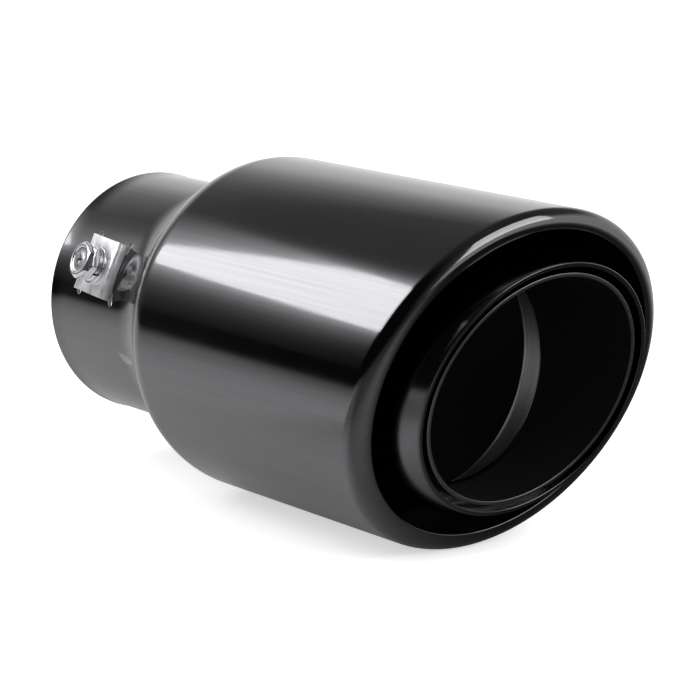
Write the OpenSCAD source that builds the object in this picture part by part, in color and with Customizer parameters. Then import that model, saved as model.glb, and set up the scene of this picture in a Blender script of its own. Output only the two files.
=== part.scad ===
// Clamp-on exhaust tip: a spun collar and shell with a slanted rolled mouth, a sleeve and a
// pipe set inside the mouth, and a bracket with a locking screw on the collar.
// Millimetres. The origin is on the axis at the collar's back end, +X runs to the mouth, +Z is up.

/* [Collar] */
// Outside diameter of the collar that slips over the tailpipe
collar_od = 74.5; // [70:0.5:80]
// Length of the straight part of the collar, where the tailpipe is gripped
collar_straight = 37; // [36:0.5:42]
// Sheet thickness of the spun shell and of the sleeve
wall = 1.2; // [1:0.1:1.5]

/* [Shell] */
// Outside diameter of the straight part of the shell
shell_od = 100; // [98:0.5:110]
// Radius of the rounded rear shoulder
shoulder_r = 13.4; // [12:0.2:15]
// Distance from the back end to where the shoulder runs into the straight shell
shoulder_end = 68.3; // [67:0.5:74]

/* [Mouth] */
// Distance from the back end to the rolled lip, measured on the axis
mouth_x = 173.3; // [168:0.5:200]
// Slant of the mouth, away from a square cut
mouth_slant = 19.4; // [10:0.2:22]
// Roll of the mouth's long side away from straight up, seen from the mouth
mouth_roll = 8.9; // [-30:0.1:30]
// Outside radius of the rolled lip
lip_r = 5.1; // [4.8:0.1:6]

/* [Sleeve] */
// Gap between the shell's wall and the sleeve
sleeve_gap = 10.2; // [8.8:0.2:10.4]
// How far the sleeve's rim stands ahead of the shell's lip, along the axis
sleeve_ahead = 9; // [4:0.5:12]
// How far the sleeve's front is drawn in at its cut edge
sleeve_draw = 2; // [1.4:0.1:2.2]
// Length of the drawn-in front
draw_l = 9.9; // [8:0.1:12]
// Distance from the back end to the sleeve's rear flange
sleeve_back = 133.6; // [128:0.2:140]

/* [Inner pipe] */
// Gap between the sleeve and the inner pipe
pipe_gap = 3.8; // [3:0.1:5]
// Sheet thickness of the inner pipe
pipe_wall = 1.15; // [0.9:0.05:1.3]
// How far the inner pipe's cut end stands ahead of the shell's lip, along the axis
pipe_ahead = 8.4; // [4:0.1:12]
// Distance from the back end to the inner pipe's rear flange
pipe_back = 146.8; // [142:0.2:152]

/* [Clamp bracket] */
// Distance from the back end to the screw, at the bracket's face
clamp_x = 24.8; // [24:0.1:25.6]
// Turn of the bracket around the collar, from the +Y side over the top
clamp_angle = 156.8; // [90:0.2:200]
// Turn of the bracket about its own screw
clamp_skew = 4.2; // [0:0.1:5]
// Lean of the bracket's face and of the screw towards the collar's back end
clamp_lean = 5; // [3:0.2:5.4]
// Height of the bracket's outer face above the collar, at the screw
clamp_rise = 2.3; // [2.3:0.1:3]
// Width of the bracket around the collar
clamp_w = 17.6; // [16.6:0.2:18.6]
// Distance from the screw to the front leg's outer face
leg_reach = 8.6; // [8.2:0.1:9]
// Distance from the screw to the rear leg's outer face
rear_reach = 9.9; // [9.4:0.1:10.2]
// Sheet thickness of the bracket
clamp_t = 1.2; // [1:0.1:1.3]
// Width of the tabs that pass through the collar
tab_w = 2.6; // [2:0.1:3]

/* [Screw, nut and washers] */
// Thread diameter of the screw
screw_d = 6; // [5.8:0.1:6]
// Width of the screw's hexagon head across its flats
head_af = 10; // [9:0.5:11]
// Height of the screw's head
head_h = 1.9; // [1.6:0.1:2.4]
// Width of the lock nut across its flats
nut_af = 10; // [9:0.5:11]
// Thickness of the lock nut
nut_h = 2.2; // [1.8:0.1:2.8]
// Diameter of the flat washer
washer_d = 12; // [11:0.5:13]
// Thickness of the flat washer
washer_t = 1; // [0.8:0.1:1.4]
// Section of the spring washer
spring_t = 1.2; // [1:0.1:1.6]

/* [Hidden] */
$fn = 96;
collar_r = collar_od / 2;
bore_r = collar_r - wall;
shell_r = shell_od / 2;
sleeve_r = shell_r - wall - sleeve_gap;
sleeve_in = sleeve_r - wall;
pipe_r = sleeve_in - pipe_gap;
pipe_in = pipe_r - pipe_wall;
weld_gap = 0.05;
seat_gap = 0.02;
slip = 0.15;
slot_slack = 0.35;
hole_slack = 0.5;
sleeve_bend = 3.2;
pipe_bend = 1.9;
pipe_edge = 0.25;
nut_turn = -6;
head_turn = 34;
recess_l = 5.2;
recess_w = 1.1;
recess_floor = 0.5;
dish_edge = 0.8;
dish_depth = 0.45;
far = 180;
// The shoulder's arc and the collar's flare arc meet with a common tangent
sh_cy = shell_r - shoulder_r;
dx = shoulder_end - collar_straight;
dc = collar_r - sh_cy;
flare_r = (dx * dx + dc * dc - shoulder_r * shoulder_r) / (2 * (shoulder_r - dc));
turn_a = asin(dx / (shoulder_r + flare_r));
// Planes where the straight rear parts meet the leaned front parts, behind the mouth
cut_room = 53.3;
split_room = 18.3;
cut_x = mouth_x - cut_room;
split_x = mouth_x - split_room;
lean_k = tan(mouth_slant);
sleeve_front = mouth_x + sleeve_ahead;
pipe_front = mouth_x + pipe_ahead;
nut_z = washer_t + spring_t + 3 * seat_gap;
head_z = nut_z + nut_h + 2 * seat_gap;

// Points [radius, distance] along an arc, for the turned profiles
function arc(cr, cx, r, a0, a1, n) = [
  for (i = [0 : n]) let (a = a0 + (a1 - a0) * i / n) [cr + r * cos(a), cx + r * sin(a)]
];

// A profile of [radius, distance] points turned about the X axis
module turned(pts) {
  rotate([0, 90, 0]) rotate_extrude() polygon(pts);
}

// Slides every point along the axis by its height, so that the mouth's plane leans
module lean() {
  multmatrix([
    [1, lean_k * sin(mouth_roll), lean_k * cos(mouth_roll), 0],
    [0, 1, 0, 0],
    [0, 0, 1, 0],
    [0, 0, 0, 1]
  ]) children();
}

// Keeps what lies ahead of a plane square to the axis
module ahead_of(x) {
  intersection() {
    children();
    translate([x, -far / 2, -far / 2]) cube([far, far, far]);
  }
}

// Places children on the bracket's outer face, with local Z along the screw and local X along the axis
module at_clamp() {
  translate([clamp_x, 0, 0]) rotate([clamp_angle - 90, 0, 0]) translate([0, 0, collar_r + clamp_rise])
    rotate([0, 0, -clamp_skew]) rotate([0, -clamp_lean, 0]) children();
}

// Rear part of the shell: collar, flare, rounded shoulder and the start of the straight wall
module shell_rear() {
  turned(concat(
    [[bore_r, 0.3], [bore_r + 0.3, 0], [collar_r - 0.4, 0], [collar_r, 0.4]],
    arc(collar_r + flare_r, collar_straight, flare_r, 180, 180 - turn_a, 14),
    arc(sh_cy, shoulder_end, shoulder_r, -turn_a, 0, 14),
    [[shell_r, cut_x], [shell_r - wall, cut_x]],
    arc(sh_cy, shoulder_end, shoulder_r - wall, 0, -turn_a, 14),
    arc(collar_r + flare_r, collar_straight, flare_r + wall, 180 - turn_a, 180, 14)
  ));
}

// Front part of the shell: straight wall and the lip, turned in by a quarter round
module shell_front() {
  c = mouth_x - lip_r;
  ahead_of(cut_x) lean() turned(concat(
    [[shell_r - wall, cut_x - shell_r], [shell_r, cut_x - shell_r]],
    arc(shell_r - lip_r, c, lip_r, 0, 90, 16),
    arc(shell_r - lip_r, c + lip_r - wall / 2, wall / 2, 100, 260, 8),
    arc(shell_r - lip_r, c, lip_r - wall, 90, 0, 16)
  ));
}

// One tab's shape, grown by a clearance, from above the collar to inside it
module tab(x, y, w, grow) {
  translate([x - clamp_t / 2 - grow, y - w / 2 - grow, -collar_r - clamp_rise + bore_r - 4])
    cube([clamp_t + 2 * grow, w + 2 * grow, 9]);
}

front_leg_x = leg_reach - clamp_t / 2;
rear_leg_x = clamp_t / 2 - rear_reach;
tab_y = (clamp_w - tab_w) / 2;

// The four slots in the collar for the bracket's tabs, and the screw's clearance hole
module collar_cuts() {
  at_clamp() {
    for (x = [front_leg_x, rear_leg_x]) for (s = [-1, 1])
      tab(x, s * (tab_y + 0.7), tab_w, slot_slack);
    translate([0, 0, -14]) cylinder(d = screw_d + 2 * hole_slack, h = 14);
  }
}

module shell() {
  color("#1b1c1f") difference() {
    union() {
      shell_rear();
      shell_front();
    }
    collar_cuts();
  }
}

// The sleeve: a tube drawn in at its cut front edge, with a flange at the back, welded in the shell
module mid_sleeve() {
  draw_r = (draw_l * draw_l + sleeve_draw * sleeve_draw) / (2 * sleeve_draw);
  draw_c = sleeve_front - draw_l;
  color("#232427") union() {
    turned(concat(
      [[sleeve_in, split_x], [sleeve_in, sleeve_back + sleeve_bend]],
      arc(sleeve_in + sleeve_bend, sleeve_back + sleeve_bend, sleeve_bend, 180, 270, 6),
      [[shell_r - wall - weld_gap, sleeve_back], [shell_r - wall - weld_gap, sleeve_back + wall]],
      arc(sleeve_in + sleeve_bend, sleeve_back + sleeve_bend, sleeve_bend - wall, 270, 180, 6),
      [[sleeve_r, split_x]]
    ));
    ahead_of(split_x) lean() turned(concat(
      [[sleeve_in, split_x - sleeve_r], [sleeve_r, split_x - sleeve_r]],
      arc(sleeve_r - draw_r, draw_c, draw_r, 0, asin(draw_l / draw_r), 10),
      arc(sleeve_r - draw_r, draw_c, draw_r - wall, asin(draw_l / (draw_r - wall)), 0, 10)
    ));
  }
}

// The inner pipe: a thin tube cut on the mouth's slant, with a flange at the back inside the sleeve
module inner_pipe() {
  lip = sleeve_in - weld_gap;
  color("#232427") union() {
    turned(concat(
      [[pipe_in, split_x], [pipe_in, pipe_back + pipe_bend]],
      arc(pipe_in + pipe_bend, pipe_back + pipe_bend, pipe_bend, 180, 270, 5),
      [[lip, pipe_back], [lip, pipe_back + pipe_wall]],
      arc(pipe_in + pipe_bend, pipe_back + pipe_bend, pipe_bend - pipe_wall, 270, 180, 5),
      [[pipe_r, split_x]]
    ));
    ahead_of(split_x) lean() turned([
      [pipe_in, split_x - pipe_r],
      [pipe_r, split_x - pipe_r],
      [pipe_r, pipe_front - pipe_edge],
      [pipe_r - pipe_edge, pipe_front],
      [pipe_in + pipe_edge, pipe_front],
      [pipe_in, pipe_front - pipe_edge]
    ]);
  }
}

// Points [x, height] along an arc, for the bracket's folded section
function bend(cx, cz, r, a0, a1) = [
  for (i = [0 : 6]) let (a = a0 + (a1 - a0) * i / 6) [cx + r * cos(a), cz + r * sin(a)]
];

// The folded section: a flat top with a leg bent square at each end
module bracket_section() {
  bend_r = 1.8;
  foot = -clamp_rise - 3.2;
  polygon(concat(
    bend(leg_reach - bend_r, -bend_r, bend_r, 90, 0),
    [[leg_reach, foot], [leg_reach - clamp_t, foot]],
    bend(leg_reach - bend_r, -bend_r, bend_r - clamp_t, 0, 90),
    bend(bend_r - rear_reach, -bend_r, bend_r - clamp_t, 90, 180),
    [[clamp_t - rear_reach, foot], [-rear_reach, foot]],
    bend(bend_r - rear_reach, -bend_r, bend_r, 180, 90)
  ));
}

// The bracket's four tabs, which run down into the slots
module tabs(grow) {
  at_clamp() for (x = [front_leg_x, rear_leg_x]) for (s = [-1, 1]) tab(x, s * tab_y, tab_w, grow);
}

// The sheet bracket: its legs are shaped to the collar, and only the tabs go through, flush with the bore
module clamp_bracket() {
  color("#b9bcc0") difference() {
    union() {
      at_clamp() difference() {
        rotate([90, 0, 0]) translate([0, 0, -clamp_w / 2])
          linear_extrude(height = clamp_w) bracket_section();
        translate([0, 0, -3]) cylinder(d = screw_d + 2 * slip, h = 6);
      }
      intersection() {
        tabs(0);
        turned([[bore_r - 2, -5], [collar_r + 1.5, -5], [collar_r + 1.5, 60], [bore_r - 2, 60]]);
      }
    }
    difference() {
      turned([[0, 0], [collar_r + slip, 0], [collar_r + slip, collar_straight], [0, collar_straight]]);
      tabs(0);
    }
    turned([[0, -1], [bore_r + 0.1, -1], [bore_r + 0.1, 60], [0, 60]]);
  }
}

module flat_washer() {
  color("#b9bcc0") at_clamp() translate([0, 0, seat_gap]) difference() {
    cylinder(d = washer_d, h = washer_t);
    translate([0, 0, -1]) cylinder(d = screw_d + 0.4, h = washer_t + 2);
  }
}

// The spring washer, drawn pressed flat, with its slit
module spring_washer() {
  od = screw_d + 0.4 + 2 * 2.2;
  color("#9a9da1") at_clamp() translate([0, 0, washer_t + 2 * seat_gap]) difference() {
    cylinder(d = od, h = spring_t);
    translate([0, 0, -1]) cylinder(d = screw_d + 0.4, h = spring_t + 2);
    rotate([0, 0, -30]) translate([0, -0.4, -1]) cube([od, 0.8, spring_t + 2]);
  }
}

// The thin lock nut, with its corners turned off at both faces
module lock_nut() {
  corner = nut_af / sqrt(3);
  color("#b9bcc0") at_clamp() translate([0, 0, nut_z]) difference() {
    intersection() {
      rotate([0, 0, nut_turn]) cylinder(r = corner, h = nut_h, $fn = 6);
      rotate_extrude() polygon([
        [0, 0],
        [nut_af / 2, 0],
        [corner, 0.4],
        [corner, nut_h - 0.4],
        [nut_af / 2, nut_h],
        [0, nut_h]
      ]);
    }
    translate([0, 0, -1]) cylinder(d = screw_d + 0.1, h = nut_h + 2);
  }
}

// The locking screw: shank and dished hexagon head with a cross recess; its tip stops short of the bore
module clamp_screw() {
  tip = (clamp_rise + wall) * cos(clamp_lean) - screw_d / 2 * sin(clamp_lean) - slip;
  corner = head_af / sqrt(3);
  color("#b9bcc0") at_clamp() difference() {
    union() {
      translate([0, 0, -tip]) cylinder(d = screw_d, h = tip + head_z + 0.3);
      translate([0, 0, head_z]) intersection() {
        rotate([0, 0, head_turn]) cylinder(r = corner, h = head_h, $fn = 6);
        rotate_extrude() polygon([
          [0, 0],
          [head_af / 2 + 0.15, 0],
          [corner + 0.1, 0.3],
          [corner + 0.1, head_h - 0.6],
          [head_af / 2 - 0.15, head_h],
          [0, head_h]
        ]);
      }
    }
    translate([0, 0, head_z + head_h - dish_depth]) cylinder(d = head_af - 2 * dish_edge, h = head_h);
    for (a = [20, 110]) translate([0, 0, head_z + recess_floor]) rotate([0, 0, a])
      translate([-recess_l / 2, -recess_w / 2, 0]) cube([recess_l, recess_w, recess_l]);
  }
}

shell();
mid_sleeve();
inner_pipe();
clamp_bracket();
flat_washer();
spring_washer();
lock_nut();
clamp_screw();
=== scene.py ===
import math

import bmesh
import bpy
from mathutils import Matrix, Vector


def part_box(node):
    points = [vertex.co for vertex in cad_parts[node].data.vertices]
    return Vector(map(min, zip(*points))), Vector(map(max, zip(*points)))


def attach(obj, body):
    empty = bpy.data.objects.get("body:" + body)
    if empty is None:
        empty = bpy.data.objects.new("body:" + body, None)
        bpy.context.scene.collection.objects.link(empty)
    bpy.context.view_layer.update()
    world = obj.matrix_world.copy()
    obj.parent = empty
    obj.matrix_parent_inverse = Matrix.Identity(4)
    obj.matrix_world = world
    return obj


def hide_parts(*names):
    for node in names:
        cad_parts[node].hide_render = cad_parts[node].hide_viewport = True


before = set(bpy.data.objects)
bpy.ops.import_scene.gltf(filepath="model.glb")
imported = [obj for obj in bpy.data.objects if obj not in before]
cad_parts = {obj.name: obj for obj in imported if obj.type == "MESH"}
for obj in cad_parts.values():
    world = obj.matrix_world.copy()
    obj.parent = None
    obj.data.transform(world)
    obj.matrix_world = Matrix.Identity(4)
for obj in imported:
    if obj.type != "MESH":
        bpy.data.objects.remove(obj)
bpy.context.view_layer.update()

# Camera. It stands ahead of the mouth and to the tip's right, a little above it, and looks
# back along the tip, as the photograph does. A long lens keeps the far collar large.
camera_azimuth = math.radians(52.15)
camera_elevation = math.radians(12.06)
camera_data = bpy.data.cameras.new("studio_camera")
camera_data.sensor_width = 36.0
camera_data.lens = 143.19
camera_data.clip_start = 0.01
camera = bpy.data.objects.new("studio_camera", camera_data)
camera.location = (0.72282, -0.48221, 0.16571)
camera.rotation_euler = (math.radians(90) - camera_elevation, 0, camera_azimuth)
bpy.context.scene.collection.objects.link(camera)
bpy.context.scene.camera = camera

# Shell. One spun sheet: the collar that slips over the tailpipe, a flare, a round shoulder, a
# straight body, and a slanted mouth whose edge is rolled inwards. Steel, polished and plated
# black. The collar has four pierced slots for the bracket and a hole for the screw.
MM = 0.001
low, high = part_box("shell")
shell_r = (high.y - low.y) / 2 / MM
sheet = 1.2
collar_r = 37.25
collar_straight = 37.0
collar_belling = 0.4
shoulder_r = 13.4
shoulder_end = 68.3
mouth_x = 173.3
mouth_slant = math.radians(19.4)
mouth_roll = math.radians(8.9)
lip_r = 5.1
shell_slide = (90.0, 125.0)


def arc(centre_x, centre_r, radius, start, end, step):
    """Points (distance along the axis, radius from it) on an arc, where 0 degrees points away
    from the axis."""
    count = max(2, round(abs(end - start) / step))
    turns = [math.radians(start + (end - start) * i / count) for i in range(count + 1)]
    return [(centre_x + radius * math.sin(a), centre_r + radius * math.cos(a)) for a in turns]


def with_stations(points, gap):
    """Adds points along the long straight runs, and one close to each end of such a run."""
    full = []
    for (xa, ra), (xb, rb) in zip(points, points[1:] + points[:1]):
        full.append((xa, ra))
        run = math.hypot(xb - xa, rb - ra)
        if run > 1.5 * gap:
            near = 0.25 * gap / run
            count = math.ceil(run / gap)
            shares = [near] + [i / count for i in range(1, count)] + [1 - near]
            full += [(xa + (xb - xa) * s, ra + (rb - ra) * s) for s in shares]
    return full


def add_node(tree, kind, links=None, **settings):
    """Adds a node, sets its properties and sockets, and links sockets given by name or index."""
    node = tree.nodes.new(kind)
    for name, value in settings.items():
        setattr(node, name, value)
    for key, value in (links or {}).items():
        socket = node.inputs[key]
        if isinstance(value, bpy.types.NodeSocket):
            tree.links.new(value, socket)
        else:
            socket.default_value = value
    return node


def linear(hex_colour):
    """An sRGB hex colour as linear RGBA."""
    parts = [int(hex_colour[i : i + 2], 16) / 255 for i in (1, 3, 5)]
    return [c / 12.92 if c <= 0.04045 else ((c + 0.055) / 1.055) ** 2.4 for c in parts] + [1.0]


def turned_tree():
    """Turns a profile about the X axis, and slides what lies past the body's middle so that
    the mouth leans."""
    tree = bpy.data.node_groups.new("turned_and_leaned", "GeometryNodeTree")
    face = tree.interface
    face.new_socket("Profile", in_out="INPUT", socket_type="NodeSocketGeometry")
    steps_in = face.new_socket("Steps Around", in_out="INPUT", socket_type="NodeSocketInt")
    steps_in.default_value = 240
    for name in ("Slant", "Roll", "Slide From", "Slide To"):
        face.new_socket(name, in_out="INPUT", socket_type="NodeSocketFloat")
    face.new_socket("Finish", in_out="INPUT", socket_type="NodeSocketMaterial")
    face.new_socket("Turned", in_out="OUTPUT", socket_type="NodeSocketGeometry")
    given = add_node(tree, "NodeGroupInput").outputs
    steps = given["Steps Around"]
    size = add_node(tree, "GeometryNodeAttributeDomainSize", {0: given["Profile"]})
    stations = size.outputs["Point Count"]

    # a grid with a row for each point of the profile and a column for each step around; the
    # row and the column past the last are the first ones again, and close it
    rows = add_node(tree, "ShaderNodeMath", {0: stations, 1: 1.0}, operation="ADD").outputs[0]
    columns = add_node(tree, "ShaderNodeMath", {0: steps, 1: 1.0}, operation="ADD").outputs[0]
    grid = add_node(tree, "GeometryNodeMeshGrid", {"Vertices X": rows, "Vertices Y": columns})
    index = add_node(tree, "GeometryNodeInputIndex").outputs[0]
    row = add_node(tree, "ShaderNodeMath", {0: index, 1: columns}, operation="DIVIDE").outputs[0]
    row = add_node(tree, "ShaderNodeMath", {0: row}, operation="FLOOR").outputs[0]
    row = add_node(tree, "ShaderNodeMath", {0: row, 1: stations}, operation="MODULO").outputs[0]
    column = add_node(tree, "ShaderNodeMath", {0: index, 1: columns}, operation="MODULO").outputs[0]
    column = add_node(tree, "ShaderNodeMath", {0: column, 1: steps}, operation="MODULO").outputs[0]
    turn = add_node(tree, "ShaderNodeMath", {0: column, 1: steps}, operation="DIVIDE").outputs[0]
    turn = add_node(tree, "ShaderNodeMath", {0: turn, 1: math.tau}, operation="MULTIPLY").outputs[0]

    # each point's place on the turned surface
    place = add_node(tree, "GeometryNodeInputPosition").outputs[0]
    station = add_node(tree, "GeometryNodeSampleIndex", data_type="FLOAT_VECTOR", domain="POINT")
    tree.links.new(given["Profile"], station.inputs["Geometry"])
    tree.links.new(place, station.inputs["Value"])
    tree.links.new(row, station.inputs["Index"])
    along, _, radius = add_node(tree, "ShaderNodeSeparateXYZ", {0: station.outputs[0]}).outputs
    cosine = add_node(tree, "ShaderNodeMath", {0: turn}, operation="COSINE").outputs[0]
    sine = add_node(tree, "ShaderNodeMath", {0: turn}, operation="SINE").outputs[0]
    y = add_node(tree, "ShaderNodeMath", {0: radius, 1: cosine}, operation="MULTIPLY").outputs[0]
    z = add_node(tree, "ShaderNodeMath", {0: radius, 1: sine}, operation="MULTIPLY").outputs[0]

    # the slide grows with the height along the mouth's long side, from nothing at Slide From
    sine = add_node(tree, "ShaderNodeMath", {0: given["Roll"]}, operation="SINE").outputs[0]
    cosine = add_node(tree, "ShaderNodeMath", {0: given["Roll"]}, operation="COSINE").outputs[0]
    side = add_node(tree, "ShaderNodeMath", {0: y, 1: sine}, operation="MULTIPLY").outputs[0]
    rise = add_node(tree, "ShaderNodeMath", {0: z, 1: cosine}, operation="MULTIPLY").outputs[0]
    height = add_node(tree, "ShaderNodeMath", {0: side, 1: rise}, operation="ADD").outputs[0]
    lean = add_node(tree, "ShaderNodeMath", {0: given["Slant"]}, operation="TANGENT").outputs[0]
    slide = add_node(tree, "ShaderNodeMath", {0: height, 1: lean}, operation="MULTIPLY").outputs[0]
    share = add_node(
        tree,
        "ShaderNodeMapRange",
        {"Value": along, "From Min": given["Slide From"], "From Max": given["Slide To"]},
        interpolation_type="SMOOTHSTEP",
    ).outputs[0]
    slide = add_node(tree, "ShaderNodeMath", {0: slide, 1: share}, operation="MULTIPLY").outputs[0]
    x = add_node(tree, "ShaderNodeMath", {0: along, 1: slide}, operation="ADD").outputs[0]
    spot = add_node(tree, "ShaderNodeCombineXYZ", {0: x, 1: y, 2: z}).outputs[0]
    placed = add_node(
        tree, "GeometryNodeSetPosition", {"Geometry": grid.outputs[0], "Position": spot}
    ).outputs[0]
    closed = add_node(
        tree, "GeometryNodeMergeByDistance", {"Geometry": placed, "Distance": 1e-6}
    ).outputs[0]
    outwards = add_node(tree, "GeometryNodeFlipFaces", {"Mesh": closed}).outputs[0]
    smooth = add_node(tree, "GeometryNodeSetShadeSmooth", {"Geometry": outwards}).outputs[0]
    whole = add_node(tree, "GeometryNodeRealizeInstances", {"Geometry": smooth}).outputs[0]
    dressed = add_node(
        tree, "GeometryNodeSetMaterial", {"Geometry": whole, "Material": given["Finish"]}
    ).outputs[0]
    add_node(tree, "NodeGroupOutput", {0: dressed})
    return tree


turned_and_leaned = turned_tree()


def linked_object(name, mesh):
    piece = bpy.data.objects.new(name, mesh)
    bpy.context.scene.collection.objects.link(piece)
    return piece


def as_plain_mesh(piece):
    """Bakes a piece's modifiers into its mesh and leaves the piece without them."""
    bpy.context.view_layer.update()
    seen = piece.evaluated_get(bpy.context.evaluated_depsgraph_get())
    mesh = bpy.data.meshes.new_from_object(seen)
    piece.modifiers.clear()
    piece.data = mesh
    mesh.name = piece.name


def turned_piece(name, points, material, steps=240, slide=None):
    """A closed profile in millimetres, turned about the axis and made a plain mesh. The slide
    is where a leaned piece starts to lean and where it leans in full."""
    wire = bpy.data.meshes.new(name)
    count = len(points)
    edges = [(i, (i + 1) % count) for i in range(count)]
    wire.from_pydata([(x * MM, 0, r * MM) for x, r in points], edges, [])
    piece = linked_object(name, wire)
    turning = piece.modifiers.new("turned", "NODES")
    turning.node_group = turned_and_leaned
    inputs = [s for s in turned_and_leaned.interface.items_tree if s.in_out == "INPUT"]
    sockets = {s.name: s.identifier for s in inputs}
    slide_from, slide_to = slide or (0.0, 1.0)
    turning[sockets["Steps Around"]] = steps
    turning[sockets["Slant"]] = mouth_slant if slide else 0.0
    turning[sockets["Roll"]] = mouth_roll
    turning[sockets["Slide From"]] = slide_from * MM
    turning[sockets["Slide To"]] = slide_to * MM
    turning[sockets["Finish"]] = material
    as_plain_mesh(piece)
    piece.data.materials.clear()
    piece.data.materials.append(material)
    piece.data.polygons.foreach_set("material_index", [0] * len(piece.data.polygons))
    return piece


def new_tree(name):
    """A new material and its empty node tree."""
    material = bpy.data.materials.new(name)
    material.use_nodes = True
    material.node_tree.nodes.clear()
    return material, material.node_tree


def black_chrome(name, seed, haze):
    """Polished black chrome plate: a dark mirror that turns white at a glancing angle. The
    sheet was polished lengthwise, which leaves long soft streaks under the plate."""
    material, tree = new_tree(name)
    spot = add_node(tree, "ShaderNodeTexCoord").outputs["Object"]
    # polishing streaks run along the tip, 60 mm long and about 1 mm apart
    along = add_node(tree, "ShaderNodeMapping", {"Vector": spot, "Scale": (16.0, 1000.0, 1000.0)})
    streaks = add_node(
        tree, "ShaderNodeTexNoise", {"Vector": along.outputs[0], "Scale": 1.0, "Detail": 4.0}
    ).outputs[0]
    # cloudy haze in patches 20 mm wide
    clouds = add_node(
        tree,
        "ShaderNodeTexNoise",
        {"Vector": spot, "Scale": 50.0, "Detail": 4.0, "W": seed},
        noise_dimensions="4D",
    ).outputs[0]
    rough = add_node(
        tree,
        "ShaderNodeMapRange",
        {
            "Value": clouds,
            "From Min": 0.3,
            "From Max": 0.75,
            "To Min": haze * 0.8,
            "To Max": haze * 1.3,
        },
    ).outputs[0]
    tint = add_node(
        tree,
        "ShaderNodeMix",
        {0: streaks, 6: linear("#5f5f61"), 7: linear("#6e6e70")},
        data_type="RGBA",
    ).outputs[2]
    polished = add_node(
        tree, "ShaderNodeBump", {"Height": streaks, "Strength": 0.06, "Distance": 0.00004}
    ).outputs[0]
    # the sheet isn't quite true: it waves by a hair every 35 mm
    wave = add_node(
        tree, "ShaderNodeTexNoise", {"Vector": spot, "Scale": 28.0, "Detail": 1.0}
    ).outputs[0]
    waved = add_node(
        tree,
        "ShaderNodeBump",
        {"Height": wave, "Strength": 0.2, "Distance": 0.0002, "Normal": polished},
    ).outputs[0]
    metal = add_node(
        tree,
        "ShaderNodeBsdfPrincipled",
        {"Base Color": tint, "Metallic": 1.0, "Roughness": rough, "Normal": waved},
    )
    add_node(tree, "ShaderNodeOutputMaterial", {0: metal.outputs[0]})
    return material


def dull_black(name):
    """Near black and matt on the walls that guide the gas: no shine, a fine dusty grain."""
    material, tree = new_tree(name)
    spot = add_node(tree, "ShaderNodeTexCoord").outputs["Object"]
    # dust grain about 0.5 mm wide
    grain = add_node(
        tree, "ShaderNodeTexNoise", {"Vector": spot, "Scale": 1800.0, "Detail": 4.0}
    ).outputs[0]
    tint = add_node(
        tree,
        "ShaderNodeMix",
        {0: grain, 6: linear("#030303"), 7: linear("#0a0a0a")},
        data_type="RGBA",
    ).outputs[2]
    bumpy = add_node(
        tree, "ShaderNodeBump", {"Height": grain, "Strength": 0.3, "Distance": 0.00005}
    ).outputs[0]
    paint = add_node(
        tree,
        "ShaderNodeBsdfPrincipled",
        {"Base Color": tint, "Roughness": 0.75, "Specular IOR Level": 0.2, "Normal": bumpy},
    )
    add_node(tree, "ShaderNodeOutputMaterial", {0: paint.outputs[0]})
    return material


def spun_steel(name, pale, dull):
    """Bare steel as it leaves the lathe: a pale satin metal with fine rings around the tip."""
    material, tree = new_tree(name)
    spot = add_node(tree, "ShaderNodeTexCoord").outputs["Object"]
    # the rings are 0.4 mm apart, and break up every 20 mm around
    across = add_node(tree, "ShaderNodeMapping", {"Vector": spot, "Scale": (2500.0, 50.0, 50.0)})
    rings = add_node(
        tree, "ShaderNodeTexNoise", {"Vector": across.outputs[0], "Scale": 1.0, "Detail": 5.0}
    ).outputs[0]
    shade = add_node(
        tree, "ShaderNodeMix", {0: rings, 6: linear(dull), 7: linear(pale)}, data_type="RGBA"
    ).outputs[2]
    grooved = add_node(
        tree, "ShaderNodeBump", {"Height": rings, "Strength": 0.5, "Distance": 0.00004}
    ).outputs[0]
    metal = add_node(
        tree,
        "ShaderNodeBsdfPrincipled",
        {"Base Color": shade, "Metallic": 1.0, "Roughness": 0.38, "Normal": grooved},
    )
    add_node(tree, "ShaderNodeOutputMaterial", {0: metal.outputs[0]})
    return material


def dress_faces(piece, material, chosen):
    """Gives a material to the faces that chosen(distance along the axis, radius from it, how
    much the face looks away from it) picks."""
    piece.data.materials.append(material)
    slot = len(piece.data.materials) - 1
    for face in piece.data.polygons:
        middle = face.center / MM
        radius = math.hypot(middle.y, middle.z)
        outwards = (face.normal.y * middle.y + face.normal.z * middle.z) / max(radius, 0.01)
        if chosen(middle.x, radius, outwards):
            face.material_index = slot


shell_chrome = black_chrome("black_chrome_on_spun_steel", 1.0, 0.1)
# the inward faces of the shell and the pipe are near black and matt, much darker than the chrome
# outside
inside_black = dull_black("near_black_matt_inside_the_tip")

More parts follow.
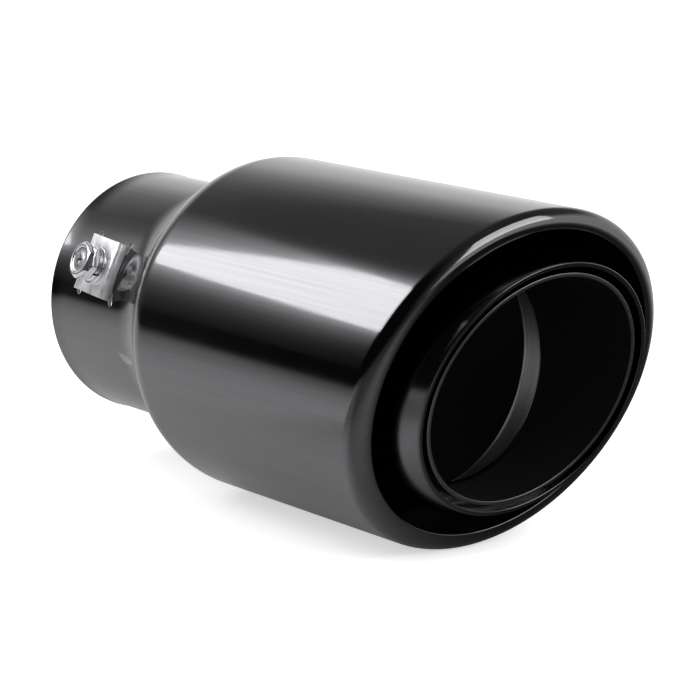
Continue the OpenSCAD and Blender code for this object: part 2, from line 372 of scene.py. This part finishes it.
shoulder_centre = shell_r - shoulder_r
reach = shoulder_end - collar_straight
drop = collar_r - shoulder_centre
flare_r = (reach**2 + drop**2 - shoulder_r**2) / (2 * (shoulder_r - drop))
flare_turn = math.degrees(math.asin(reach / (shoulder_r + flare_r)))
flare_centre = collar_r + flare_r
lip_x = mouth_x - lip_r
belled_length = 6.5
bell = [
    (x, collar_r + collar_belling * (1 - x / belled_length) ** 2)
    for x in (0.5, 1.0, 1.7, 2.5, 3.4, 4.4, belled_length)
]
end_round = 0.4
end_lift = 0.34
collar_in = collar_r - sheet
shell_profile = with_stations(
    arc(end_round, collar_r + end_lift - end_round, end_round, -90, -15, 15)
    + bell
    + arc(collar_straight, flare_centre, flare_r, 180, 180 - flare_turn, 2.5)
    + arc(shoulder_end, shoulder_centre, shoulder_r, -flare_turn, 0, 2.5)
    + arc(lip_x, shell_r - lip_r, lip_r, 0, 90, 3.5)
    + arc(lip_x + lip_r - sheet / 2, shell_r - lip_r, sheet / 2, 100, 260, 16)
    + arc(lip_x, shell_r - lip_r, lip_r - sheet, 90, 0, 7)
    + arc(shoulder_end, shoulder_centre, shoulder_r - sheet, 0, -flare_turn, 5)
    + arc(collar_straight, flare_centre, flare_r + sheet, 180 - flare_turn, 180, 5)
    + [(5.5, collar_in), (2.5, collar_in + 0.1), (0.5, collar_in + 0.3)]
    + arc(end_round, collar_in + end_lift + end_round, end_round, 195, 270, 25),
    4.0,
)
shell = turned_piece("shell_body", shell_profile, shell_chrome, slide=shell_slide)

# The collar's four slots and its screw hole are cut in the bracket's own place, whose Z runs
# along the screw and X along the tip
clamp_x = 24.8
clamp_turn = math.radians(156.8)
clamp_skew = math.radians(4.2)
clamp_lean = math.radians(5)
clamp_rise = 2.3
plate_t = 1.2
plate_w = 17.6
tab_w = 2.6
leg_reach = 8.6
rear_reach = 9.9
front_leg = leg_reach - plate_t / 2
rear_leg = plate_t / 2 - rear_reach
clamp_frame = (
    Matrix.Translation((clamp_x * MM, 0, 0))
    @ Matrix.Rotation(clamp_turn - math.pi / 2, 4, "X")
    @ Matrix.Translation((0, 0, (collar_r + clamp_rise) * MM))
    @ Matrix.Rotation(-clamp_skew, 4, "Z")
    @ Matrix.Rotation(-clamp_lean, 4, "Y")
)


def bevelled_box(bm, centre, size, radius):
    """A box in millimetres in the bracket's own place, with its upright edges rounded."""
    made = bmesh.ops.create_cube(bm, size=1.0)["verts"]
    bmesh.ops.scale(bm, vec=Vector(size) * MM, verts=made)
    bmesh.ops.translate(bm, vec=Vector(centre) * MM, verts=made)
    edges = dict.fromkeys(e for v in made for e in v.link_edges)
    upright = [e for e in edges if abs(e.verts[0].co.z - e.verts[1].co.z) > 1e-6]
    bmesh.ops.bevel(bm, geom=upright, offset=radius * MM, segments=4, affect="EDGES")


def cut_with(piece, bm, name, material=None):
    """Takes the shape in bm, drawn in the bracket's own place, away from a piece once the
    piece is made plain."""
    mesh = bpy.data.meshes.new(name)
    mesh.materials.append(material or piece.data.materials[0])
    bm.to_mesh(mesh)
    bm.free()
    mesh.transform(clamp_frame)
    cutter = linked_object(name, mesh)
    cut = piece.modifiers.new(name, "BOOLEAN")
    cut.operation = "DIFFERENCE"
    cut.object = cutter
    cut.solver = "EXACT"
    cut.material_mode = "TRANSFER"
    return cutter


pierced_steel = spun_steel("bare_steel_on_pierced_edges", "#f0f0f2", "#cfd0d3")
slot_gap = 0.45
slot_inner = 0.35
slot_outer = 1.45
slot_middle = (slot_outer - slot_inner) / 2
screw_hole_r = 3.5
tab_y = (plate_w - tab_w) / 2
bm = bmesh.new()
for x in (front_leg, rear_leg):
    for side in (-1, 1):
        bevelled_box(
            bm,
            (x, side * (tab_y + slot_middle), -clamp_rise - 2.5),
            (plate_t + 2 * slot_gap, tab_w + slot_inner + slot_outer, 9.0),
            radius=0.5,
        )
bmesh.ops.create_cone(
    bm,
    cap_ends=True,
    segments=48,
    radius1=screw_hole_r * MM,
    radius2=screw_hole_r * MM,
    depth=14 * MM,
    matrix=Matrix.Translation((0, 0, -7 * MM)),
)
bmesh.ops.recalc_face_normals(bm, faces=bm.faces)
slot_cutter = cut_with(shell, bm, "slot_cutter", pierced_steel)
as_plain_mesh(shell)
bpy.data.objects.remove(slot_cutter)
gas_wall_r = shell_r - sheet + 0.05
lip_edge_r = shell_r - lip_r


def inside_the_shell(x, r, out):
    """The faces that guide the gas, and not those of the lip's rolled edge."""
    on_lip_edge = x > 100 and abs(r - lip_edge_r) < 0.8
    return out < -0.3 and r < gas_wall_r and not on_lip_edge


dress_faces(shell, inside_black, inside_the_shell)
shell.data.set_sharp_from_angle(angle=math.radians(40))
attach(shell, "root")
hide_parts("shell")

# Sleeve. A tube between the shell's lip and the inner pipe, drawn in at its cut front edge. It
# stands ahead of the lip and is welded to the shell's wall by a flange at its back. Plated
# outside; deep inside, behind the inner pipe, it is bare spun steel.
sleeve_r = 38.6
sleeve_front = mouth_x + 9.0
sleeve_back = 133.6
draw = 2.0
draw_length = 9.9
cone = math.atan(draw / draw_length)
cone_bend = 6.0
cone_x = sleeve_front - draw_length - cone_bend * math.tan(cone / 2)
flange_bend = 3.2
weld_gap = 0.05
flange_r = shell_r - sheet - weld_gap
cut_edge = 0.25
bare_to = 150.0
sleeve_chrome = black_chrome("black_chrome_on_the_sleeve", 2.0, 0.14)
sleeve_in = sleeve_r - sheet
front_r = sleeve_r - draw
sleeve_profile = with_stations(
    arc(cone_x, sleeve_r - cone_bend, cone_bend, 0, math.degrees(cone), 2)
    + arc(sleeve_front - cut_edge, front_r - cut_edge, cut_edge, 15, 90, 25)
    + arc(sleeve_front - cut_edge, front_r - sheet * 1.03 + cut_edge, cut_edge, 90, 165, 25)
    + arc(cone_x, sleeve_r - cone_bend, cone_bend - sheet, math.degrees(cone), 0, 3)
    + arc(sleeve_back + flange_bend, sleeve_in + flange_bend, flange_bend, 180, 270, 10)
    + [(sleeve_back, flange_r), (sleeve_back + sheet, flange_r)]
    + arc(sleeve_back + flange_bend, sleeve_in + flange_bend, flange_bend - sheet, 270, 180, 15),
    3.0,
)
sleeve = turned_piece("mouth_sleeve", sleeve_profile, sleeve_chrome, slide=(140.0, 152.0))
dress_faces(
    sleeve,
    spun_steel("bare_spun_steel_deep_inside", "#d4d4d6", "#68686b"),
    lambda x, r, out: x < bare_to and out < -0.3,
)
sleeve.data.set_sharp_from_angle(angle=math.radians(40))
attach(sleeve, "root")
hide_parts("mid_sleeve")

# Inner pipe. A thin tube with a plain cut end on the mouth's slant, just behind the sleeve's
# edge, held by a small flange inside the sleeve. Black inside; the cut edge is polished.
pipe_r = 33.6
pipe_wall = 1.15
pipe_front = mouth_x + 8.4
pipe_back = 146.8
pipe_bend = 1.9
pipe_in = pipe_r - pipe_wall
pipe_chrome = black_chrome("black_chrome_on_the_pipe", 3.0, 0.12)
pipe_profile = with_stations(
    arc(pipe_front - cut_edge, pipe_r - cut_edge, cut_edge, 0, 90, 22.5)
    + arc(pipe_front - cut_edge, pipe_in + cut_edge, cut_edge, 90, 180, 22.5)
    + arc(pipe_back + pipe_bend, pipe_in + pipe_bend, pipe_bend, 180, 270, 15)
    + [(pipe_back, sleeve_in - weld_gap), (pipe_back + pipe_wall, sleeve_in - weld_gap)]
    + arc(pipe_back + pipe_bend, pipe_in + pipe_bend, pipe_bend - pipe_wall, 270, 180, 15),
    3.0,
)
pipe = turned_piece("inner_pipe_tube", pipe_profile, pipe_chrome, slide=(149.0, 158.0))
dress_faces(pipe, inside_black, lambda x, r, out: out < -0.6 and r < pipe_in + 0.05)
dress_faces(
    pipe,
    spun_steel("polished_cut_edge", "#8a8a8c", "#6c6c6e"),
    lambda x, r, out: x > 160 and abs(out) < 0.9,
)
pipe.data.set_sharp_from_angle(angle=math.radians(40))
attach(pipe, "root")
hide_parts("inner_pipe")

# Bracket. A small strip of pressed steel sheet, zinc plated, with a leg bent square at each end;
# it leans back towards the collar's end. Four tabs at its corners go through the collar's slots,
# and the screw's hole is punched in its face.


def bright_zinc(name, seed, rough, pale, dull, metallic=0.95):
    """Bright zinc plate: a pale grey satin metal, cloudy, with fine pressing marks."""
    material, tree = new_tree(name)
    spot = add_node(tree, "ShaderNodeTexCoord").outputs["Object"]
    # cloudy patches about 3 mm wide
    clouds = add_node(
        tree,
        "ShaderNodeTexNoise",
        {"Vector": spot, "Scale": 320.0, "Detail": 6.0, "W": seed},
        noise_dimensions="4D",
    ).outputs[0]
    tint = add_node(
        tree, "ShaderNodeMix", {0: clouds, 6: linear(dull), 7: linear(pale)}, data_type="RGBA"
    ).outputs[2]
    sheen = add_node(
        tree,
        "ShaderNodeMapRange",
        {
            "Value": clouds,
            "From Min": 0.3,
            "From Max": 0.7,
            "To Min": rough * 0.7,
            "To Max": rough * 1.4,
        },
    ).outputs[0]
    # pressing marks about 1 mm wide
    dents = add_node(
        tree, "ShaderNodeTexNoise", {"Vector": spot, "Scale": 900.0, "Detail": 4.0}
    ).outputs[0]
    pressed = add_node(
        tree, "ShaderNodeBump", {"Height": dents, "Strength": 0.5, "Distance": 0.00012}
    ).outputs[0]
    metal = add_node(
        tree,
        "ShaderNodeBsdfPrincipled",
        {"Base Color": tint, "Metallic": metallic, "Roughness": sheen, "Normal": pressed},
    )
    add_node(tree, "ShaderNodeOutputMaterial", {0: metal.outputs[0]})
    return material


bracket_zinc = bright_zinc("bright_zinc_on_pressed_sheet", 4.0, 0.34, "#f8f8fa", "#d4d5d8", 0.78)
bend_r = 1.8
bracket_hole_r = 3.15
seat_gap = 0.15
tab_l = 2.0
foot = -clamp_rise - 3.2
section = (
    arc(leg_reach - bend_r, -bend_r, bend_r, 0, 90, 10)
    + [(leg_reach, foot), (leg_reach - plate_t, foot)]
    + arc(leg_reach - bend_r, -bend_r, bend_r - plate_t, 90, 0, 15)
    + arc(bend_r - rear_reach, -bend_r, bend_r - plate_t, 0, -90, 15)
    + [(plate_t - rear_reach, foot), (-rear_reach, foot)]
    + arc(bend_r - rear_reach, -bend_r, bend_r, -90, 0, 10)
)
bm = bmesh.new()
loop = [bm.verts.new((x * MM, -plate_w / 2 * MM, z * MM)) for x, z in section]
near_face = bm.faces.new(loop)
swept = bmesh.ops.extrude_face_region(bm, geom=[near_face])["geom"]
bmesh.ops.translate(
    bm, vec=(0, plate_w * MM, 0), verts=[v for v in swept if isinstance(v, bmesh.types.BMVert)]
)
bmesh.ops.recalc_face_normals(bm, faces=bm.faces)
mesh = bpy.data.meshes.new("fold_bracket")
bm.to_mesh(mesh)
bm.free()
mesh.transform(clamp_frame)
bracket = linked_object("fold_bracket", mesh)
mesh.materials.append(bracket_zinc)

# between the tabs the legs stop on the collar, and the tabs stop at its bore
bm = bmesh.new()
bmesh.ops.create_cone(
    bm,
    cap_ends=True,
    segments=256,
    radius1=(collar_r + seat_gap) * MM,
    radius2=(collar_r + seat_gap) * MM,
    depth=80 * MM,
    matrix=clamp_frame.inverted()
    @ Matrix.Translation((clamp_x * MM, 0, 0))
    @ Matrix.Rotation(math.pi / 2, 4, "Y"),
)
collar_cutter = cut_with(bracket, bm, "collar_cutter")
bm = bmesh.new()
bmesh.ops.create_cone(
    bm,
    cap_ends=True,
    segments=64,
    radius1=bracket_hole_r * MM,
    radius2=bracket_hole_r * MM,
    depth=6 * MM,
)
hole_cutter = cut_with(bracket, bm, "hole_cutter")
as_plain_mesh(bracket)
bpy.data.objects.remove(collar_cutter)
bpy.data.objects.remove(hole_cutter)
# how deep the collar lies under the plate's edge at each leg, from its lean and the collar's round
collar_fall = collar_r - math.sqrt(collar_r**2 - (plate_w / 2) ** 2)
bm = bmesh.new()
for x in (front_leg, rear_leg):
    depth = clamp_rise + x * math.sin(clamp_lean) + collar_fall
    for side in (-1, 1):
        bevelled_box(bm, (x, side * tab_y, -depth + 0.1), (plate_t, tab_w, tab_l), radius=0.2)
bm.transform(clamp_frame)
bm.from_mesh(bracket.data)
bm.to_mesh(bracket.data)
bm.free()
softened = bracket.modifiers.new("softened_edges", "BEVEL")
softened.width = 0.12 * MM
softened.segments = 2
softened.limit_method = "ANGLE"
softened.angle_limit = math.radians(40)
as_plain_mesh(bracket)
bracket.data.shade_smooth()
bracket.data.set_sharp_from_angle(angle=math.radians(35))
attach(bracket, "root")
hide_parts("clamp_bracket")

# Flat washer and spring washer. The first is stamped from steel sheet, the second is one turn
# of square steel wire, cut through; both are zinc plated and lie on the bracket under the nut.
washer_r = 6.0
washer_t = 1.0
spring_t = 1.2
spring_r = 5.4
washer_hole = 3.2
seat = 0.02
washer_zinc = bright_zinc("bright_zinc_on_washers", 5.0, 0.2, "#f0f0f2", "#c4c5c8")


def ring_profile(hole, outside, base, thick, edge, step=30):
    """A flat ring's section with rounded edges; the ring stands along X here."""
    return (
        arc(base + thick - edge, outside - edge, edge, 0, 90, step)
        + arc(base + thick - edge, hole + edge, edge, 90, 180, step)
        + arc(base + edge, hole + edge, edge, 180, 270, step)
        + arc(base + edge, outside - edge, edge, 270, 360, step)
    )


screw_frame = clamp_frame @ Matrix.Rotation(-math.pi / 2, 4, "Y")


def on_screw(piece):
    """Moves a mesh that was turned about X onto the bracket's screw."""
    piece.data.transform(screw_frame)
    return piece


washer_profile = ring_profile(washer_hole, washer_r, seat, washer_t, 0.2)
washer = on_screw(turned_piece("flat_washer_plain", washer_profile, washer_zinc, 96))
washer.data.set_sharp_from_angle(angle=math.radians(40))
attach(washer, "root")
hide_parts("flat_washer")

spring_base = washer_t + 2 * seat
spring_profile = ring_profile(washer_hole, spring_r, spring_base, spring_t, 0.25)
spring = on_screw(turned_piece("spring_washer_split", spring_profile, washer_zinc, 96))
slit = 0.8
bm = bmesh.new()
bmesh.ops.create_cube(
    bm,
    size=1.0,
    matrix=Matrix.Rotation(math.radians(-30), 4, "Z")
    @ Matrix.Translation((spring_r * MM, 0, (spring_base + spring_t / 2) * MM))
    @ Matrix.Rotation(math.radians(20), 4, "X")
    @ Matrix.Diagonal((2 * spring_r * MM, slit * MM, 4 * MM, 1)),
)
slit_cutter = cut_with(spring, bm, "slit_cutter")
as_plain_mesh(spring)
bpy.data.objects.remove(slit_cutter)
spring.data.set_sharp_from_angle(angle=math.radians(40))
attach(spring, "root")
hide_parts("spring_washer")

# Lock nut. A thin hexagon nut of zinc-plated steel, its corners turned off at both faces. It
# keeps the screw from turning where it presses on the tailpipe.
nut_flats = 10.0
nut_t = 2.2
nut_turn = math.radians(-6)
nut_base = washer_t + spring_t + 3 * seat
nut_zinc = bright_zinc("bright_zinc_on_nut", 6.0, 0.2, "#ececee", "#c0c1c4")
nut_corner = nut_flats / math.sqrt(3)
nut_face_r = nut_flats / 2 * 0.97
nut_hole = 3.03
nut_top = nut_base + nut_t
nut_profile = [
    (nut_top, nut_face_r),
    (nut_top, nut_hole + 0.22),
    (nut_top - 0.3, nut_hole),
    (nut_base + 0.3, nut_hole),
    (nut_base, nut_hole + 0.22),
    (nut_base, nut_face_r),
    (nut_base + 0.4, nut_corner + 0.05),
    (nut_top - 0.4, nut_corner + 0.05),
]
nut = on_screw(turned_piece("thin_hex_nut", nut_profile, nut_zinc, 96))


def cut_flats(piece, flats, turn, base, thick):
    """Cuts the six flats of a hexagon on a turned blank, and softens their edges."""
    for side in range(6):
        bm = bmesh.new()
        bmesh.ops.create_cube(
            bm,
            size=1.0,
            matrix=Matrix.Rotation(turn + math.radians(30 + 60 * side), 4, "Z")
            @ Matrix.Translation(((flats / 2 + 3) * MM, 0, (base + thick / 2) * MM))
            @ Matrix.Diagonal((6 * MM, 14 * MM, 8 * MM, 1)),
        )
        flat_cutter = cut_with(piece, bm, "flat_cutter")
        as_plain_mesh(piece)
        bpy.data.objects.remove(flat_cutter)
    softened = piece.modifiers.new("softened_edges", "BEVEL")
    softened.width = 0.12 * MM
    softened.segments = 2
    softened.limit_method = "ANGLE"
    softened.angle_limit = math.radians(30)
    as_plain_mesh(piece)


cut_flats(nut, nut_flats, nut_turn, nut_base, nut_t)
nut.data.set_sharp_from_angle(angle=math.radians(25))
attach(nut, "root")
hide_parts("lock_nut")

# Screw. A short headed steel screw with a dished hexagon head and a cross recess, zinc plated.
# Its shank goes through the nut, the washers, the bracket and the collar. No thread is drawn.
head_base = nut_top + 2 * seat
head_flats = 10.0
head_h = 1.9
head_turn = math.radians(34)
dish_r = head_flats / 2 - 0.8
dish_depth = 0.45
screw_r = 3.0
# the shank stops 0.15 mm short of the collar's bore, measured square to the leaned bracket
shank = (clamp_rise + sheet) * math.cos(clamp_lean) - screw_r * math.sin(clamp_lean) - 0.15
screw_zinc = bright_zinc("bright_zinc_on_screw", 7.0, 0.16, "#f4f4f6", "#c8c9cc")
head_corner = head_flats / math.sqrt(3)
head_top = head_base + head_h
screw_profile = [
    (-shank, 0.02),
    (-shank, screw_r - 0.5),
    (-shank + 0.5, screw_r),
    (head_base - 0.02, screw_r),
    (head_base, head_flats / 2),
    (head_base + 0.3, head_corner + 0.05),
    (head_top - 0.6, head_corner + 0.05),
    (head_top - 0.05, head_flats / 2 - 0.05),
    (head_top, head_flats / 2 - 0.25),
    (head_top, dish_r + 0.15),
    (head_top - 0.06, dish_r),
    (head_top - dish_depth + 0.1, dish_r - 0.18),
    (head_top - dish_depth, dish_r - 0.5),
    (head_top - dish_depth, 2.6),
    (head_top - dish_depth + 0.15, 1.8),
    (head_top - dish_depth + 0.2, 0.02),
]
screw = on_screw(turned_piece("cross_recess_screw", screw_profile, screw_zinc, 96))
cut_flats(screw, head_flats, head_turn, head_base, head_h)
# the cross recess is cut by two tapered bars, one after the other
recess_bar = Matrix.Diagonal((5.2 * MM, 1.15 * MM, 2.0 * MM, 1))
recess_up = Matrix.Translation((0, 0, (head_base + 1.5) * MM))
for turn in (20, 110):
    bm = bmesh.new()
    for v in bmesh.ops.create_cube(bm, size=1.0, matrix=recess_bar)["verts"]:
        if v.co.z < 0:
            v.co.x *= 0.45
            v.co.y *= 0.6
    bm.transform(Matrix.Rotation(math.radians(turn), 4, "Z") @ recess_up)
    recess_cutter = cut_with(screw, bm, "recess_cutter")
    as_plain_mesh(screw)
    bpy.data.objects.remove(recess_cutter)
screw.data.shade_smooth()
screw.data.set_sharp_from_angle(angle=math.radians(35))
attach(screw, "root")
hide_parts("clamp_screw")

# Floor. A matt white table top that the tip's shell rests on. It glows a little by itself to
# the camera and in the chrome, so that it runs into the white behind it, and keeps the shadow.
floor_z = -shell_r * MM
table_corners = [(-1.5, -0.5), (0.8, -0.5), (0.8, 1.6), (-1.5, 1.6)]
floor_mesh = bpy.data.meshes.new("white_table")
floor_mesh.from_pydata([(x, y, floor_z) for x, y in table_corners], [], [(0, 1, 2, 3)])
floor = linked_object("white_table", floor_mesh)
table_white, tree = new_tree("matt_white_table")
path = add_node(tree, "ShaderNodeLightPath").outputs
mirrored = add_node(
    tree,
    "ShaderNodeMath",
    {0: path["Is Glossy Ray"], 1: path["Is Transmission Ray"]},
    operation="MAXIMUM",
).outputs[0]
share = add_node(tree, "ShaderNodeMath", {0: mirrored, 1: 0.3}, operation="MULTIPLY").outputs[0]
glow = add_node(
    tree, "ShaderNodeMath", {0: path["Is Camera Ray"], 1: 0.56, 2: share}, operation="MULTIPLY_ADD"
).outputs[0]
matt = add_node(tree, "ShaderNodeBsdfDiffuse", {"Color": linear("#e8e8e8")})
lit = add_node(tree, "ShaderNodeEmission", {"Color": (1, 1, 1, 1), "Strength": glow})
both = add_node(tree, "ShaderNodeAddShader", {0: matt.outputs[0], 1: lit.outputs[0]})
add_node(tree, "ShaderNodeOutputMaterial", {0: both.outputs[0]})
floor_mesh.materials.append(table_white)

# Sheet of painted shade. It lies on the table ahead of the mouth and under the tip, where the
# camera doesn't see it, and darkens the table in the lip's and the sleeve's mirror: painted shade
# for the tip's shadow under it and the dim table ahead of the mouth.
shade_sheet_mesh = bpy.data.meshes.new("painted_shade_sheet")
shade_sheet_z = floor_z + 0.2 * MM
shade_sheet_mesh.from_pydata([(x, y, shade_sheet_z) for x, y in table_corners], [], [(0, 1, 2, 3)])
shade_sheet = linked_object("painted_shade_sheet", shade_sheet_mesh)
shade_sheet.visible_camera = False
shade_sheet.visible_diffuse = False
shade_sheet.visible_shadow = False
shade_sheet_grey, tree = new_tree("graded_painted_shade")
place = add_node(tree, "ShaderNodeTexCoord").outputs["Object"]
ahead, side_y, _ = add_node(tree, "ShaderNodeSeparateXYZ", {0: place}).outputs
# each change of the painted shade's level: along what, from where to where in metres, and its two
# levels
changes = {}
for name, way, start, end, at_start, at_end in (
    ("at the mouth", ahead, 0.13, 0.17, 1.0, 0.45),
    ("further ahead", ahead, 0.2, 0.42, 1.0, 0.45),
    ("near the table's edge", side_y, -0.5, -0.1, 0.05, 0.72),
    ("before the tip", side_y, -0.14, -0.055, 0.42, 1.0),
    ("only at the mouth", ahead, 0.04, 0.1, 0.0, 1.0),
    ("under the tip", side_y, -0.06, 0.02, 1.0, 0.15),
    ("only under the body", ahead, 0.06, 0.11, 0.5, 1.0),
    ("beyond the tip", side_y, 0.1, 0.36, 0.0, 1.0),
):
    changes[name] = add_node(
        tree,
        "ShaderNodeMapRange",
        {"Value": way, "From Min": start, "From Max": end, "To Min": at_start, "To Max": at_end},
        interpolation_type="SMOOTHSTEP",
    ).outputs[0]
for name, share in (
    ("before the tip", "only at the mouth"),
    ("under the tip", "only under the body"),
):
    changes[name] = add_node(
        tree,
        "ShaderNodeMix",
        {"Factor": changes[share], "A": 1.0, "B": changes[name]},
        data_type="FLOAT",
    ).outputs[0]
level = changes["at the mouth"]
for name, operation in (
    ("further ahead", "MULTIPLY"),
    ("before the tip", "MULTIPLY"),
    ("under the tip", "MULTIPLY"),
    ("beyond the tip", "MAXIMUM"),
    ("near the table's edge", "MULTIPLY"),
):
    level = add_node(
        tree, "ShaderNodeMath", {0: level, 1: changes[name]}, operation=operation
    ).outputs[0]
# how much of the table the sheet lets through: painted shade wherever this is below 1
shade_colour = add_node(tree, "ShaderNodeCombineColor", {0: level, 1: level, 2: level}).outputs[0]
through = add_node(tree, "ShaderNodeBsdfTransparent", {0: shade_colour})
add_node(tree, "ShaderNodeOutputMaterial", {0: through.outputs[0]})
shade_sheet_mesh.materials.append(shade_sheet_grey)

# Dark cards. They stand around the table and hang over it, and leave it open at the back,
# where the white background is. The cards give the black chrome its dark bands.
card_distance = 1.3
card_centre = 0.1
open_to = 183
open_height = 22
turns = list(range(-15, 346, 3))
heights = [-25, -12, -6, 0, 6, 12, 17, 22, 26, 30, 34, 38, 45, 55, 70, 89]
verts = []
for h in heights:
    level_r = card_distance * math.cos(math.radians(h))
    up = card_distance * math.sin(math.radians(h))
    for t in turns:
        a = math.radians(t)
        verts.append((card_centre + level_r * math.cos(a), level_r * math.sin(a), up))
faces = []
wide = len(turns)
for row in range(len(heights) - 1):
    for column in range(wide - 1):
        if turns[column] >= open_to or heights[row] >= open_height:
            first = row * wide + column
            faces.append((first, first + 1, first + 1 + wide, first + wide))
card_mesh = bpy.data.meshes.new("dark_cards")
card_mesh.from_pydata(verts, [], faces)
cards = linked_object("dark_cards", card_mesh)
cards.visible_camera = False
cards.visible_diffuse = False
cards.visible_shadow = False
card_black, tree = new_tree("black_card_with_a_lit_lower_edge")
place = add_node(tree, "ShaderNodeTexCoord").outputs["Object"]
_, side_y, up = add_node(tree, "ShaderNodeSeparateXYZ", {0: place}).outputs
# the cards' lower edges at the back are lit and fade upwards; the rest is nearly black, and
# blackest overhead and in front
edge_low, edge_high = (card_distance * math.sin(math.radians(h)) for h in (19, 38))
levels = []
for way, start, end, at_start, at_end, kind in (
    (up, edge_low, edge_high, 1.0, 0.0, "LINEAR"),
    (side_y, -0.25, 0.1, 0.0, 1.0, "SMOOTHSTEP"),
    (up, 0.85, 1.2, 0.17, 0.1, "SMOOTHSTEP"),
    (side_y, -0.9, -0.25, 0.07, 1.0, "SMOOTHSTEP"),
):
    level = add_node(
        tree,
        "ShaderNodeMapRange",
        {"Value": way, "From Min": start, "From Max": end, "To Min": at_start, "To Max": at_end},
        interpolation_type=kind,
    )
    levels.append(level.outputs[0])
edge_up, edge_back, dark_up, dark_front = levels
dark = add_node(
    tree, "ShaderNodeMath", {0: dark_up, 1: dark_front}, operation="MULTIPLY"
).outputs[0]
strength = add_node(
    tree, "ShaderNodeMath", {0: edge_up, 1: edge_back, 2: dark}, operation="MULTIPLY_ADD"
).outputs[0]
lit = add_node(tree, "ShaderNodeEmission", {"Color": (1, 1, 1, 1), "Strength": strength})
add_node(tree, "ShaderNodeOutputMaterial", {0: lit.outputs[0]})
card_mesh.materials.append(card_black)

# Lamps. One softbox stands close to the tip's right side and gives the long bright band; a
# second stands ahead of the mouth and lights the lip's top and the inside. The white surround
# is what shows behind the table, and it lights the table softly.


def softbox(name, corner, width_way, width, height, radiance, tilt=0.0):
    """A flat soft lamp. The corner is its lower end on the left as the tip sees it, and a tilt
    leans it over the tip."""
    lamp = bpy.data.lights.new(name, "AREA")
    lamp.shape = "RECTANGLE"
    lamp.size = width
    lamp.size_y = height
    lamp.energy = radiance * math.pi * width * height
    across = Vector(width_way).normalized()
    up = Matrix.Rotation(tilt, 3, across) @ Vector((0, 0, 1))
    facing = across.cross(up)
    centre = Vector(corner) + across * width / 2 + up * height / 2
    stand = linked_object(name, lamp)
    turned = Matrix((across, up, facing)).transposed().to_4x4()
    stand.matrix_world = Matrix.Translation(centre) @ turned
    stand.visible_camera = False


side_corner = Vector((-0.197, -0.156, 0.125))
side_way = Vector((0.862, -0.507, 0)).normalized()
side_width = 0.24
side_height = 0.17
softbox("side_softbox", side_corner, side_way, side_width, side_height, 3.55)
front_tilt = math.radians(-25)
softbox("front_softbox", (0.874, -0.19, 0.21), (-0.12, 0.99, 0), 0.62, 0.6, 3.0, front_tilt)
# a faint lamp inside the shell shows the bare wall behind the inner pipe
softbox("chamber_lamp", (0.035, -0.036, -0.03), (1, 0, 0), 0.06, 0.05, 0.4)

# Spill around the side softbox: its cloth frame glows, most of all beyond its left end, and
# softens the bright band's edges
spill_mesh = bpy.data.meshes.new("softbox_spill")
behind = side_way.cross(Vector((0, 0, 1))) * 0.002
frame_corners = ((-0.3, -0.1), (side_width, -0.1), (side_width, 0.32), (-0.3, 0.32))
spill_mesh.from_pydata(
    [side_corner + behind + side_way * way + Vector((0, 0, rise)) for way, rise in frame_corners],
    [],
    [(0, 1, 2, 3)],
)
spill = linked_object("softbox_spill", spill_mesh)
spill.visible_camera = False
spill.visible_diffuse = False
spill.visible_shadow = False
spill_cloth, tree = new_tree("glowing_softbox_frame")
place = add_node(tree, "ShaderNodeTexCoord").outputs["Object"]
shift = add_node(
    tree, "ShaderNodeVectorMath", {0: place, 1: side_corner}, operation="SUBTRACT"
).outputs[0]
way = add_node(
    tree, "ShaderNodeVectorMath", {0: shift, 1: side_way}, operation="DOT_PRODUCT"
).outputs["Value"]
_, _, rise = add_node(tree, "ShaderNodeSeparateXYZ", {0: shift}).outputs
strength = add_node(
    tree,
    "ShaderNodeMapRange",
    {"Value": way, "From Min": 0.12, "From Max": 0.2, "To Min": 2.0, "To Max": 0.0},
    interpolation_type="SMOOTHSTEP",
).outputs[0]
# past each edge the glow dies off by e for each reach: to the left, below and above
for along, edge, reach in ((way, 0.0, -0.055), (rise, 0.0, -0.024), (rise, side_height, 0.03)):
    past = add_node(tree, "ShaderNodeMath", {0: along, 1: edge}, operation="SUBTRACT").outputs[0]
    past = add_node(tree, "ShaderNodeMath", {0: past, 1: -reach}, operation="DIVIDE").outputs[0]
    past = add_node(tree, "ShaderNodeMath", {0: past, 1: 0.0}, operation="MINIMUM").outputs[0]
    fade = add_node(tree, "ShaderNodeMath", {0: past}, operation="EXPONENT").outputs[0]
    strength = add_node(
        tree, "ShaderNodeMath", {0: strength, 1: fade}, operation="MULTIPLY"
    ).outputs[0]
lit = add_node(tree, "ShaderNodeEmission", {"Color": (1, 1, 1, 1), "Strength": strength})
clear = add_node(tree, "ShaderNodeBsdfTransparent")
both = add_node(tree, "ShaderNodeAddShader", {0: lit.outputs[0], 1: clear.outputs[0]})
add_node(tree, "ShaderNodeOutputMaterial", {0: both.outputs[0]})
spill_mesh.materials.append(spill_cloth)

world = bpy.data.worlds.new("white_surround")
bpy.context.scene.world = world
world.use_nodes = True
tree = world.node_tree
tree.nodes.clear()
surround = add_node(tree, "ShaderNodeBackground", {"Color": (1, 1, 1, 1), "Strength": 1.0})
add_node(tree, "ShaderNodeOutputWorld", {0: surround.outputs[0]})

bpy.context.scene.view_settings.view_transform = "Standard"
